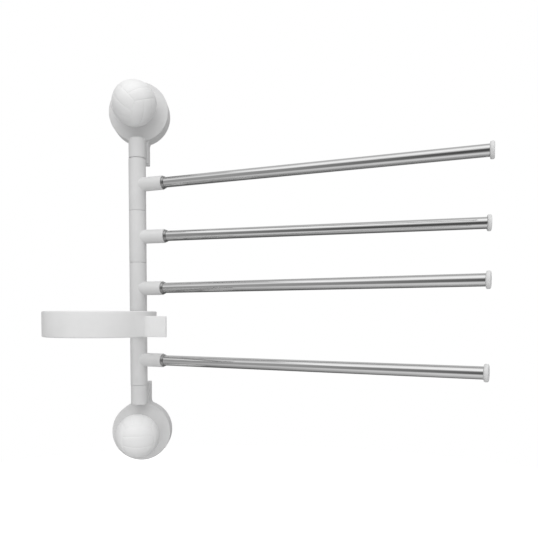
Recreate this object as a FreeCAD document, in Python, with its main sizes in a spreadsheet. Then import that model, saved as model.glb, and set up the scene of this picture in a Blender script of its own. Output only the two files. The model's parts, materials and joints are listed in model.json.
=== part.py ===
"""Swing arm towel bar: four chrome rods and a holder ring that swing on one white wall post.

Frame: millimetres, +Z up, +X to the right along the wall, -Y out from the wall.
The origin is the centre of the upper disc's wall face, so the wall is the plane Y = 0.
The two wall brackets and their fittings are one moulding each, used twice: the lower
set is the upper one turned half a turn about Y.
"""
import FreeCAD, Part
import Sketcher
import math
import os

os.makedirs("parts", exist_ok=True)
doc = FreeCAD.newDocument("swing_arm_towel_bar")

# ---------------------------------------------------------------- driving dimensions
SIZES = [
    ("disc_radius", 35.2, "wall disc, outer radius"),
    ("disc_depth", 21.0, "wall disc, depth of its straight rim"),
    ("disc_wall", 3.0, "wall disc, wall of the hollow shell"),
    ("disc_round", 1.5, "wall disc, rounding of the front rim edge"),
    ("cone_rise", 8.0, "flared front, height above the rim"),
    ("flare_dip", 1.8, "flared front, how far it hollows below a straight cone"),
    ("collar_radius", 18.5, "flat collar in the middle of the front"),
    ("collar_depth", 5.0, "thickness of the collar that the stud passes"),
    ("collar_inner", 16.0, "radius of the hollow behind the collar"),
    ("press_rib_inset", 2.8, "rib that presses the pad, distance inside the disc's wall"),
    ("press_rib_wall", 3.5, "rib that presses the pad, thickness"),
    ("pad_rim", 2.5, "suction pad, thickness under the rib"),
    ("pad_gap", 0.8, "suction pad, clearance inside the disc's wall"),
    ("pad_crown", 6.5, "suction pad, height of its drawn-up middle"),
    ("pad_slope", 6.0, "suction pad, width of the slope from its rim to its middle"),
    ("post_gap", 2.3, "post, clearance between the sleeves and the discs' rims"),
    ("post_radius", 10.0, "swinging hubs, outer radius"),
    ("hub_round", 0.6, "hubs, rounding of the end edges"),
    ("sleeve_radius", 9.7, "bracket sleeve, outer radius"),
    ("sleeve_length", 22.1, "bracket sleeve, length along the post"),
    ("sleeve_round", 1.2, "bracket sleeve, rounding of its outer end"),
    ("sleeve_tuck", 0.05, "bracket sleeve, reach of its outer end past the disc's rim"),
    ("tail_width", 21.6, "tail that carries the sleeve, width"),
    ("tail_back", 3.0, "tail, distance of its back from the wall"),
    ("tail_front", 19.0, "tail, distance of its front from the wall"),
    ("tail_overhang", 3.0, "tail, reach past the sleeve's hub end"),
    ("tail_fillet", 7.0, "tail, fillet into the disc"),
    ("web_width", 13.0, "web between tail and sleeve, width"),
    ("shaft_radius", 4.0, "pivot shaft, radius"),
    ("plug_radius", 6.5, "sleeve end plug, radius"),
    ("plug_depth", 3.0, "sleeve end plug, thickness"),
    ("run_gap", 0.05, "running and seating fits, radial clearance"),
    ("washer_height", 2.5, "hub washer, thickness"),
    ("washer_radius", 9.5, "hub washer, outer radius"),
    ("hub_length", 58.0, "arm hub, length along the post"),
    ("ring_hub_length", 21.0, "ring hub, length along the post"),
    ("arm_reach", 389.0, "post axis to the end of an arm"),
    ("arm_one_angle", 23.5, "arm 1 at rest, degrees out from the wall"),
    ("arm_two_angle", 17.0, "arm 2 at rest, degrees out from the wall"),
    ("arm_three_angle", 27.0, "arm 3 at rest, degrees out from the wall"),
    ("arm_four_angle", 27.5, "arm 4 at rest, degrees out from the wall"),
    ("socket_radius", 8.0, "arm socket, outer radius"),
    ("socket_reach", 35.0, "post axis to the socket's mouth"),
    ("socket_depth", 22.0, "depth of the rod in the socket"),
    ("socket_round", 0.8, "arm socket, rounding of the mouth's edge"),
    ("rod_radius", 6.0, "chrome rod, outer radius"),
    ("rod_wall", 0.9, "chrome rod, wall of the tube"),
    ("ferrule_length", 3.0, "flared ferrule, length"),
    ("ferrule_lip", 0.8, "flared ferrule, thickness at its thin end"),
    ("cap_radius", 8.3, "end cap flange, radius"),
    ("cap_flange", 4.2, "end cap flange, thickness"),
    ("cap_round", 1.4, "end cap flange, rounding of both edges"),
    ("cap_plug", 12.0, "end cap plug, length inside the tube"),
    ("ring_radius", 60.0, "holder ring, outer radius"),
    ("ring_wall", 3.0, "holder ring, thickness of the band"),
    ("ring_height", 26.9, "holder ring, height of the band"),
    ("ring_lift", 1.1, "holder ring, middle of the band above the middle of its hub"),
    ("ring_round", 1.1, "holder ring, rounding of the band's edges"),
    ("ring_neck", 2.0, "holder ring, gap between band and hub"),
    ("neck_width", 15.0, "block that joins band and hub, width"),
    ("neck_height", 18.0, "block that joins band and hub, height"),
    ("ring_angle", 114.5, "ring at rest, degrees out from the wall"),
    ("tab_reach", 22.7, "finger tab at the ring's side, reach from the band"),
    ("tab_wall", 3.0, "finger tab, thickness"),
    ("tab_fillet", 5.0, "finger tab, fillet into the band"),
    ("tab_height", 21.7, "finger tab, height"),
    ("tab_drop", 1.4, "finger tab, middle of the plate below the middle of the hub"),
    ("knob_radius", 25.5, "ball knob, radius"),
    ("knob_wall", 3.0, "ball knob, wall of the hollow ball"),
    ("knob_back", 19.0, "ball knob, centre to the flat at its back"),
    ("knob_groove", 0.6, "ball knob, radius of the panel seams' groove"),
    ("boss_radius", 9.5, "boss inside the ball, radius"),
    ("insert_radius", 6.0, "threaded insert, outer radius"),
    ("insert_length", 20.0, "threaded insert, length"),
    ("thrust_height", 1.0, "thrust washer under the knob, thickness"),
    ("thrust_radius", 16.5, "thrust washer under the knob, outer radius"),
    ("stud_radius", 4.0, "stud, radius over its thread"),
    ("stud_end_gap", 3.0, "stud's end to the end of the insert's hole"),
    ("anchor_radius", 14.0, "stud's anchor plate, radius"),
    ("anchor_height", 2.2, "stud's anchor plate, thickness"),
    ("anchor_lift", 3.0, "anchor plate's back above the wall, drawn up"),
    ("soft_gap", 0.3, "gap between soft pad and anchor plate"),
]

sheet = doc.addObject("Spreadsheet::Sheet", "dims")
for row, (alias, value, note) in enumerate(SIZES, start=1):
    sheet.set("A%d" % row, alias)
    sheet.set("B%d" % row, str(value))
    sheet.setAlias("B%d" % row, alias)
    sheet.set("C%d" % row, note)
doc.recompute()

# ------------------------------------------------- places worked out from the sizes
HUB_STEP = "(dims.hub_length + dims.washer_height)"
RING_STEP = "(dims.ring_hub_length + dims.washer_height)"
DISC_DROP = "(dims.disc_radius + dims.sleeve_length - dims.sleeve_tuck)"
STACK_TOP = "(-%s)" % DISC_DROP
STACK_LENGTH = "(4 * %s + %s + dims.washer_height)" % (HUB_STEP, RING_STEP)
DISC_SPACING = "(2 * %s + %s)" % (DISC_DROP, STACK_LENGTH)
POST_OFFSET = "(dims.disc_depth + dims.post_gap + dims.sleeve_radius)"
DISC_INSIDE = "(dims.disc_radius - dims.disc_wall)"
RIB_OUTER = "(%s - dims.press_rib_inset)" % DISC_INSIDE
RIB_INNER = "(%s - dims.press_rib_wall)" % RIB_OUTER
PAD_SKIRT = "(%s - dims.pad_slope)" % RIB_INNER
COLLAR_FRONT = "(dims.disc_depth + dims.cone_rise)"
KNOB_BACK = "(%s + dims.thrust_height)" % COLLAR_FRONT
KNOB_CENTRE = "(%s + dims.knob_back)" % KNOB_BACK
INSERT_END = "(%s + dims.insert_length)" % KNOB_BACK
BORE_RADIUS = "(dims.shaft_radius + dims.run_gap)"
RING_DISTANCE = "(dims.ring_radius + dims.ring_neck + dims.post_radius)"
ARM_ANGLES = ["dims.arm_one_angle", "dims.arm_two_angle", "dims.arm_three_angle", "dims.arm_four_angle"]

nodes = []


def value(expression):
    """Number that an expression of the sheet's sizes stands for."""
    return float(sheet.evalExpression(expression))


def stack_step(place):
    """Expression for the top of the hub at this place of the stack, counted from the top."""
    arms_above = place - (1 if place > 3 else 0)
    rings_above = 1 if place > 3 else 0
    return "(%s - dims.washer_height - %d * %s - %d * %s)" % (
        STACK_TOP, arms_above, HUB_STEP, rings_above, RING_STEP)


# --------------------------------------------------------------- modelling helpers
def new_body(name):
    """An empty body whose label is the name of its node."""
    body = doc.addObject("PartDesign::Body", name)
    body.Label = name
    nodes.append(body)
    return body


def new_sketch(body, name, role, offset="0"):
    """A sketch on one of the body's own origin planes, moved along the plane's normal."""
    sketch = body.newObject("Sketcher::SketchObject", name)
    plane = [item for item in body.Origin.OriginFeatures if item.Role == role][0]
    sketch.AttachmentSupport = [(plane, "")]
    sketch.MapMode = "FlatFace"
    sketch.setExpression("AttachmentOffset.Base.z", offset)
    return sketch


def bind(sketch, constraint, expression):
    """Add a dimension and tie it to the sheet."""
    index = sketch.addConstraint(constraint)
    sketch.setExpression("Constraints[%d]" % index, expression)


def draw_circle(sketch, radius, centre_x="0", centre_y="0"):
    """A circle placed and sized by expressions."""
    middle = FreeCAD.Vector(value(centre_x), value(centre_y), 0)
    circle = Part.Circle(middle, FreeCAD.Vector(0, 0, 1), value(radius))
    edge = sketch.addGeometry(circle, False)
    bind(sketch, Sketcher.Constraint("Radius", edge, value(radius)), radius)
    bind(sketch, Sketcher.Constraint("DistanceX", -1, 1, edge, 3, middle.x), centre_x)
    bind(sketch, Sketcher.Constraint("DistanceY", -1, 1, edge, 3, middle.y), centre_y)


def draw_outline(sketch, corners):
    """A closed outline of straight lines through corners given as pairs of expressions."""
    points = [FreeCAD.Vector(value(x), value(y), 0) for x, y in corners]
    edges = []
    for start, end in zip(points, points[1:] + points[:1]):
        edges.append(sketch.addGeometry(Part.LineSegment(start, end), False))
    for edge, following in zip(edges, edges[1:] + edges[:1]):
        sketch.addConstraint(Sketcher.Constraint("Coincident", edge, 2, following, 1))
    for edge, point, (x, y) in zip(edges, points, corners):
        bind(sketch, Sketcher.Constraint("DistanceX", -1, 1, edge, 1, point.x), x)
        bind(sketch, Sketcher.Constraint("DistanceY", -1, 1, edge, 1, point.y), y)
    return edges


def bend_side(sketch, edges, side, dip, across, along):
    """Swap one straight side of an outline for an arc whose middle lies the dip to its left."""
    line = sketch.Geometry[edges[side]]
    chord = line.EndPoint - line.StartPoint
    left = FreeCAD.Vector(-chord.y, chord.x, 0).normalize()
    radius = "((%s) ^ 2 + (%s) ^ 2) / (8 * %s) + %s / 2" % (across, along, dip, dip)
    centre = (line.StartPoint + line.EndPoint) * 0.5 - left * (value(radius) - value(dip))
    to_start = line.StartPoint - centre
    to_end = line.EndPoint - centre
    circle = Part.Circle(centre, FreeCAD.Vector(0, 0, 1), value(radius))
    arc = Part.ArcOfCircle(circle, math.atan2(to_end.y, to_end.x), math.atan2(to_start.y, to_start.x))
    added = sketch.addGeometry(arc, False)
    sketch.addConstraint(Sketcher.Constraint("Coincident", added, 1, edges[side], 2))
    sketch.addConstraint(Sketcher.Constraint("Coincident", added, 2, edges[side], 1))
    sketch.setConstruction(edges[side], True)
    bind(sketch, Sketcher.Constraint("Radius", added, value(radius)), radius)


def draw_box(sketch, low_x, low_y, high_x, high_y):
    """A rectangle between two corners given as expressions."""
    draw_outline(sketch, [(low_x, low_y), (high_x, low_y), (high_x, high_y), (low_x, high_y)])


def rebuilt(feature):
    """Recompute the document and return the feature, which must have rebuilt."""
    doc.recompute()
    if "Invalid" in feature.State or feature.Shape.isNull():
        raise RuntimeError("%s did not rebuild" % feature.Name)
    return feature


def pad(body, name, sketch, length):
    """Add material from the sketch along its normal."""
    feature = body.newObject("PartDesign::Pad", name)
    feature.Profile = sketch
    feature.setExpression("Length", length)
    return rebuilt(feature)


def pocket(body, name, sketch, length):
    """Cut from the sketch against its normal, and make sure that something was cut."""
    before = body.Shape.Volume
    feature = body.newObject("PartDesign::Pocket", name)
    feature.Profile = sketch
    feature.setExpression("Length", length)
    rebuilt(feature)
    if body.Shape.Volume >= before:
        raise RuntimeError("%s cut nothing" % name)
    return feature


def revolve(body, name, sketch):
    """Turn the sketch a full turn about its own horizontal axis."""
    feature = body.newObject("PartDesign::Revolution", name)
    feature.Profile = sketch
    feature.ReferenceAxis = (sketch, ["H_Axis"])
    feature.Angle = 360
    return rebuilt(feature)


def round_edges(body, name, base, radius, chosen):
    """Fillet the base's edges that the test picks out."""
    picked = ["Edge%d" % (i + 1) for i, edge in enumerate(base.Shape.Edges) if chosen(edge)]
    if not picked:
        raise RuntimeError("%s found no edge" % name)
    feature = body.newObject("PartDesign::Fillet", name)
    feature.Base = (base, picked)
    feature.setExpression("Radius", radius)
    return rebuilt(feature)


def is_circle(edge, radius, axis, place):
    """Whether an edge is a circle of this radius, square to the axis at this place on it."""
    curve = edge.Curve
    if not hasattr(curve, "Radius") or abs(curve.Radius - radius) > 1e-4:
        return False
    return abs(abs(curve.Axis.dot(axis)) - 1) < 1e-6 and abs(curve.Center.dot(axis) - place) < 1e-4


ALONG_X = FreeCAD.Vector(1, 0, 0)
ALONG_Y = FreeCAD.Vector(0, 1, 0)
ALONG_Z = FreeCAD.Vector(0, 0, 1)


def place_end(body, end):
    """Leave the upper set where it is modelled and turn the lower set half a turn about Y."""
    if end == "lower":
        body.Placement.Rotation = FreeCAD.Rotation(ALONG_Y, 180)
        body.setExpression("Placement.Base.z", "-" + DISC_SPACING)


def place_on_post(body, height, angle="0"):
    """Stand a body on the post axis, swung out from the wall by an angle in degrees."""
    # One degree only names Z as the axis; the sheet then sets the angle itself.
    body.Placement.Rotation = FreeCAD.Rotation(ALONG_Z, 1)
    body.setExpression("Placement.Rotation.Angle", "-(%s)" % angle)
    body.setExpression("Placement.Base.y", "-" + POST_OFFSET)
    body.setExpression("Placement.Base.z", height)


# ------------------------------------------------------------------- wall brackets
def make_bracket(end):
    """White disc with a flared front, a tail behind the post and the sleeve on the tail."""
    body = new_body("%s_bracket" % end)

    # Hollow disc, turned about Y: out along the rim, in over the flared front, then the
    # stud's bore, the hollow, and the rib that presses the suction pad to the wall.
    shell = new_sketch(body, "%s_disc_profile" % end, "YZ_Plane")
    slope = "(dims.cone_rise / (dims.disc_radius - dims.collar_radius))"
    hollow_front = "-(%s - dims.collar_depth)" % COLLAR_FRONT
    cone_at_rib = "dims.disc_depth + %s * (dims.disc_radius - %s)" % (slope, RIB_INNER)
    rib_root = "-(%s - dims.flare_dip - dims.disc_wall)" % cone_at_rib
    stud_bore = "dims.stud_radius + dims.run_gap"
    sides = draw_outline(shell, [
        ("0", "dims.disc_radius"),
        ("-dims.disc_depth", "dims.disc_radius"),
        ("-" + COLLAR_FRONT, "dims.collar_radius"),
        ("-" + COLLAR_FRONT, stud_bore),
        (hollow_front, stud_bore),
        (hollow_front, "dims.collar_inner"),
        (rib_root, RIB_INNER),
        ("-dims.pad_rim", RIB_INNER),
        ("-dims.pad_rim", RIB_OUTER),
        ("-(dims.disc_depth - dims.disc_wall)", RIB_OUTER),
        ("-(dims.disc_depth - dims.disc_wall)", DISC_INSIDE),
        ("0", DISC_INSIDE),
    ])
    bend_side(shell, sides, 1, "dims.flare_dip", "dims.cone_rise",
              "dims.disc_radius - dims.collar_radius")
    disc = revolve(body, "%s_disc" % end, shell)
    radius = value("dims.disc_radius")
    depth = value("dims.disc_depth")
    round_edges(body, "%s_rim_round" % end, disc, "dims.disc_round",
                lambda edge: is_circle(edge, radius, ALONG_Y, -depth))

    # Tail: a thick plate down from the rim, behind the post.
    tail = new_sketch(body, "%s_tail_outline" % end, "XZ_Plane", "dims.tail_back")
    tail_end = "-(%s + dims.tail_overhang)" % DISC_DROP
    draw_box(tail, "-dims.tail_width / 2", tail_end, "dims.tail_width / 2", "-" + DISC_INSIDE)
    tail_pad = pad(body, "%s_tail" % end, tail, "dims.tail_front - dims.tail_back")

    half_tail = value("dims.tail_width / 2")

    def meets_disc(edge):
        ends = [vertex.Point for vertex in edge.Vertexes]
        if len(ends) < 2:
            return False
        on_side = all(abs(abs(point.x) - half_tail) < 0.01 for point in ends)
        on_rim = all(abs(math.hypot(point.x, point.z) - radius) < 0.01 for point in ends)
        return on_side and on_rim and abs(ends[0].x - ends[1].x) < 0.01

    round_edges(body, "%s_tail_blend" % end, tail_pad, "dims.tail_fillet", meets_disc)

    # Web that stands the sleeve off the tail, and the sleeve that carries the shaft's end.
    web = new_sketch(body, "%s_web_outline" % end, "XY_Plane", STACK_TOP)
    draw_box(web, "-dims.web_width / 2", "-" + POST_OFFSET, "dims.web_width / 2",
             "-(dims.tail_front - dims.disc_wall)")
    pad(body, "%s_web" % end, web, "dims.sleeve_length - 2 * dims.sleeve_round")
    sleeve = new_sketch(body, "%s_sleeve_circle" % end, "XY_Plane", STACK_TOP)
    draw_circle(sleeve, "dims.sleeve_radius", "0", "-" + POST_OFFSET)
    sleeve_pad = pad(body, "%s_sleeve" % end, sleeve, "dims.sleeve_length")
    outer_end = value("dims.sleeve_length + " + STACK_TOP)
    sleeve_radius = value("dims.sleeve_radius")
    round_edges(body, "%s_sleeve_round" % end, sleeve_pad, "dims.sleeve_round",
                lambda edge: is_circle(edge, sleeve_radius, ALONG_Z, outer_end))

    bore = new_sketch(body, "%s_bore_circle" % end, "XY_Plane", "dims.sleeve_length + " + STACK_TOP)
    draw_circle(bore, BORE_RADIUS, "0", "-" + POST_OFFSET)
    pocket(body, "%s_bore" % end, bore, "dims.sleeve_length")
    seat = new_sketch(body, "%s_plug_seat_circle" % end, "XY_Plane", "dims.sleeve_length + " + STACK_TOP)
    draw_circle(seat, "dims.plug_radius + dims.run_gap", "0", "-" + POST_OFFSET)
    pocket(body, "%s_plug_seat" % end, seat, "dims.plug_depth")
    place_end(body, end)


def make_plug(end):
    """Button plug that closes the sleeve's outer end over the pivot shaft."""
    body = new_body("%s_shaft_plug" % end)
    sketch = new_sketch(body, "%s_plug_circle" % end, "XY_Plane",
                        "dims.sleeve_length - dims.plug_depth + " + STACK_TOP)
    draw_circle(sketch, "dims.plug_radius", "0", "-" + POST_OFFSET)
    disc = pad(body, "%s_plug_pad" % end, sketch, "dims.plug_depth")
    top = value("dims.sleeve_length + " + STACK_TOP)
    plug_radius = value("dims.plug_radius")
    round_edges(body, "%s_plug_round" % end, disc, "dims.hub_round",
                lambda edge: is_circle(edge, plug_radius, ALONG_Z, top))
    place_end(body, end)


def make_pad(end):
    """Soft suction pad: flat rim under the rib, drawn up in the middle round the anchor plate."""
    body = new_body("%s_suction_pad" % end)
    sketch = new_sketch(body, "%s_pad_profile" % end, "YZ_Plane")
    inner = "dims.anchor_radius + dims.soft_gap"
    draw_outline(sketch, [
        ("0", PAD_SKIRT + " + dims.pad_rim"),
        ("0", DISC_INSIDE + " - dims.pad_gap"),
        ("-dims.pad_rim", DISC_INSIDE + " - dims.pad_gap"),
        ("-dims.pad_rim", RIB_INNER),
        ("-dims.pad_crown", PAD_SKIRT),
        ("-dims.pad_crown", inner),
        ("-dims.anchor_lift", inner),
        ("-dims.anchor_lift", PAD_SKIRT + " - dims.pad_rim"),
    ])
    revolve(body, "%s_pad_disc" % end, sketch)
    place_end(body, end)


def make_stud(end):
    """Threaded stud with the anchor plate that draws the middle of the pad off the wall."""
    body = new_body("%s_stud" % end)
    sketch = new_sketch(body, "%s_stud_profile" % end, "YZ_Plane")
    plate_front = "-(dims.anchor_lift + dims.anchor_height)"
    stud_tip = "-(%s - dims.stud_end_gap)" % INSERT_END
    draw_outline(sketch, [
        ("-dims.anchor_lift", "0"),
        ("-dims.anchor_lift", "dims.anchor_radius"),
        (plate_front, "dims.anchor_radius"),
        (plate_front, "dims.stud_radius"),
        (stud_tip, "dims.stud_radius"),
        (stud_tip, "0"),
    ])
    revolve(body, "%s_stud_turned" % end, sketch)
    place_end(body, end)


def make_thrust_washer(end):
    """Flat washer between the bracket's collar and the back of the ball knob."""
    body = new_body("%s_thrust_washer" % end)
    sketch = new_sketch(body, "%s_thrust_rings" % end, "XZ_Plane", COLLAR_FRONT)
    draw_circle(sketch, "dims.thrust_radius")
    draw_circle(sketch, "dims.stud_radius + dims.run_gap")
    pad(body, "%s_thrust_disc" % end, sketch, "dims.thrust_height")
    place_end(body, end)


def make_insert(end):
    """Brass insert moulded into the knob's boss, with the blind hole that takes the stud."""
    body = new_body("%s_knob_insert" % end)
    sketch = new_sketch(body, "%s_insert_profile" % end, "YZ_Plane")
    hole = "dims.stud_radius + dims.run_gap"
    hole_end = "-(%s - dims.stud_end_gap / 2)" % INSERT_END
    draw_outline(sketch, [
        ("-" + KNOB_BACK, hole),
        ("-" + KNOB_BACK, "dims.insert_radius"),
        ("-" + INSERT_END, "dims.insert_radius"),
        ("-" + INSERT_END, "0"),
        (hole_end, "0"),
        (hole_end, hole),
    ])
    revolve(body, "%s_insert_turned" % end, sketch)
    place_end(body, end)


def make_knob(end):
    """Ball knob: a hollow ball cut flat at the back, a boss for the insert, seam grooves."""
    centre = "-" + KNOB_CENTRE
    name = "%s_knob" % end

    def ball(label, radius):
        sphere = doc.addObject("Part::Sphere", label)
        sphere.setExpression("Radius", radius)
        sphere.setExpression("Placement.Base.y", centre)
        return sphere

    def rod_along_y(label, radius, back, length):
        rod = doc.addObject("Part::Cylinder", label)
        rod.setExpression("Radius", radius)
        rod.setExpression("Height", length)
        rod.Placement.Rotation = FreeCAD.Rotation(ALONG_X, 90)
        rod.setExpression("Placement.Base.y", back)
        return rod

    def combine(kind, label, base, tool):
        result = doc.addObject(kind, label)
        result.Base = base
        result.Tool = tool
        return result

    outside = ball(name + "_outside", "dims.knob_radius")
    hollow = ball(name + "_hollow", "dims.knob_radius - dims.knob_wall")
    boss = rod_along_y(name + "_boss", "dims.boss_radius", "-" + KNOB_BACK,
                       "dims.knob_back + dims.knob_radius - dims.knob_wall / 2")
    cut_off = rod_along_y(name + "_cut_off", "2 * dims.knob_radius", "0", KNOB_BACK)
    socket = rod_along_y(name + "_socket", "dims.insert_radius + dims.run_gap", "-" + KNOB_BACK,
                         "dims.insert_length + dims.run_gap")
    back_plate = rod_along_y(name + "_back_plate", "dims.thrust_radius", "-" + KNOB_BACK,
                             "dims.knob_wall")
    shell = combine("Part::Cut", name + "_shell", outside, hollow)
    bossed = combine("Part::Fuse", name + "_bossed", shell, boss)
    backed = combine("Part::Fuse", name + "_backed", bossed, back_plate)
    flat = combine("Part::Cut", name + "_flat", backed, cut_off)
    solid = combine("Part::Cut", name + "_bored", flat, socket)

    # Panel seams: three grooves round the ball, tilted to each other as on a sports ball.
    for number, (tilt_axis, tilt) in enumerate([(ALONG_X, 62), (ALONG_Y, 38), (ALONG_Y, 128)], start=1):
        seam = doc.addObject("Part::Torus", "%s_seam_%d" % (name, number))
        seam.setExpression("Radius1", "dims.knob_radius")
        seam.setExpression("Radius2", "dims.knob_groove")
        seam.Placement.Rotation = FreeCAD.Rotation(tilt_axis, tilt)
        seam.setExpression("Placement.Base.y", centre)
        solid = combine("Part::Cut", "%s_grooved_%d" % (name, number), solid, seam)
    solid.Label = name
    nodes.append(solid)
    doc.recompute()
    place_end(solid, end)


# -------------------------------------------------------- post: shaft and washers
def make_shaft():
    """Steel pivot shaft through every hub, from plug to plug."""
    shaft = doc.addObject("Part::Cylinder", "pivot_shaft")
    inside = "(dims.sleeve_length - dims.plug_depth)"
    shaft.setExpression("Radius", "dims.shaft_radius")
    shaft.setExpression("Height", "%s + 2 * %s" % (STACK_LENGTH, inside))
    shaft.setExpression("Placement.Base.y", "-" + POST_OFFSET)
    shaft.setExpression("Placement.Base.z", "%s - %s - %s" % (STACK_TOP, STACK_LENGTH, inside))
    shaft.Label = "pivot_shaft"
    nodes.append(shaft)


def make_washers():
    """Six identical washers, one at each joint of the stack of sleeves and hubs."""
    tops = [stack_step(place) for place in range(5)]
    heights = [STACK_TOP] + ["(%s - dims.hub_length)" % top for top in tops[:3]]
    heights.append("(%s - dims.ring_hub_length)" % tops[3])
    heights.append("(%s - dims.hub_length)" % tops[4])
    rings = []
    for number, height in enumerate(heights, start=1):
        outer = doc.addObject("Part::Cylinder", "washer_%d_outside" % number)
        outer.setExpression("Radius", "dims.washer_radius")
        inner = doc.addObject("Part::Cylinder", "washer_%d_hole" % number)
        inner.setExpression("Radius", "dims.shaft_radius + dims.run_gap")
        ring = doc.addObject("Part::Cut", "washer_%d" % number)
        ring.Base = outer
        ring.Tool = inner
        for piece in (outer, inner):
            piece.setExpression("Height", "dims.washer_height")
            piece.setExpression("Placement.Base.y", "-" + POST_OFFSET)
            piece.setExpression("Placement.Base.z", "%s - dims.washer_height" % height)
        rings.append(ring)
    group = doc.addObject("Part::Compound", "hub_washers")
    group.Links = rings
    group.Label = "hub_washers"
    nodes.append(group)


# ------------------------------------------------------------------- swinging arms
def make_arm(number, place, angle):
    """One arm, built along +X from the post axis: hub with socket, ferrule, tube, end cap."""
    name = "arm_%d" % number
    height = "%s - dims.hub_length / 2" % stack_step(place)
    socket_end = "dims.socket_reach"
    rod_start = "(dims.socket_reach - dims.socket_depth)"
    rod_end = "(dims.arm_reach - dims.cap_flange)"
    rod_hole = "(dims.rod_radius - dims.rod_wall)"
    snug = "(dims.rod_radius + dims.run_gap)"

    hub = new_body(name + "_hub")
    barrel = new_sketch(hub, name + "_barrel_circle", "XY_Plane", "-dims.hub_length / 2")
    draw_circle(barrel, "dims.post_radius")
    barrel_pad = pad(hub, name + "_barrel", barrel, "dims.hub_length")
    hub_radius = value("dims.post_radius")
    half_length = value("dims.hub_length / 2")
    round_edges(hub, name + "_barrel_round", barrel_pad, "dims.hub_round",
                lambda edge: is_circle(edge, hub_radius, ALONG_Z, half_length)
                or is_circle(edge, hub_radius, ALONG_Z, -half_length))
    socket = new_sketch(hub, name + "_socket_circle", "YZ_Plane")
    draw_circle(socket, "dims.socket_radius")
    socket_pad = pad(hub, name + "_socket", socket, socket_end)
    mouth = value(socket_end)
    socket_radius = value("dims.socket_radius")
    round_edges(hub, name + "_socket_round", socket_pad, "dims.socket_round",
                lambda edge: is_circle(edge, socket_radius, ALONG_X, mouth))
    bore = new_sketch(hub, name + "_bore_circle", "XY_Plane", "dims.hub_length / 2")
    draw_circle(bore, BORE_RADIUS)
    pocket(hub, name + "_bore", bore, "dims.hub_length")
    seat = new_sketch(hub, name + "_seat_circle", "YZ_Plane", socket_end)
    draw_circle(seat, snug)
    pocket(hub, name + "_seat", seat, "dims.socket_depth")

    ferrule = new_body(name + "_ferrule")
    flare = new_sketch(ferrule, name + "_ferrule_profile", "XZ_Plane")
    thin_end = "dims.socket_reach + dims.ferrule_length"
    draw_outline(flare, [
        (socket_end, snug),
        (socket_end, "dims.socket_radius - dims.socket_round / 2"),
        (thin_end, snug + " + dims.ferrule_lip"),
        (thin_end, snug),
    ])
    revolve(ferrule, name + "_ferrule_turned", flare)

    rod = new_body(name + "_rod")
    tube = new_sketch(rod, name + "_tube_rings", "YZ_Plane", rod_start)
    draw_circle(tube, "dims.rod_radius")
    draw_circle(tube, rod_hole)
    pad(rod, name + "_tube", tube, "%s - %s" % (rod_end, rod_start))

    cap = new_body(name + "_end_cap")
    flange = new_sketch(cap, name + "_flange_circle", "YZ_Plane", rod_end)
    draw_circle(flange, "dims.cap_radius")
    flange_pad = pad(cap, name + "_flange", flange, "dims.cap_flange")
    cap_radius = value("dims.cap_radius")
    cap_back = value(rod_end)
    cap_front = value("dims.arm_reach")
    round_edges(cap, name + "_flange_round", flange_pad, "dims.cap_round",
                lambda edge: is_circle(edge, cap_radius, ALONG_X, cap_back)
                or is_circle(edge, cap_radius, ALONG_X, cap_front))
    plug = new_sketch(cap, name + "_plug_circle", "YZ_Plane", "%s - dims.cap_plug" % rod_end)
    draw_circle(plug, "%s - dims.run_gap" % rod_hole)
    pad(cap, name + "_plug", plug, "dims.cap_plug + dims.cap_flange / 2")

    for body in (hub, ferrule, rod, cap):
        place_on_post(body, height, angle)


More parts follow.
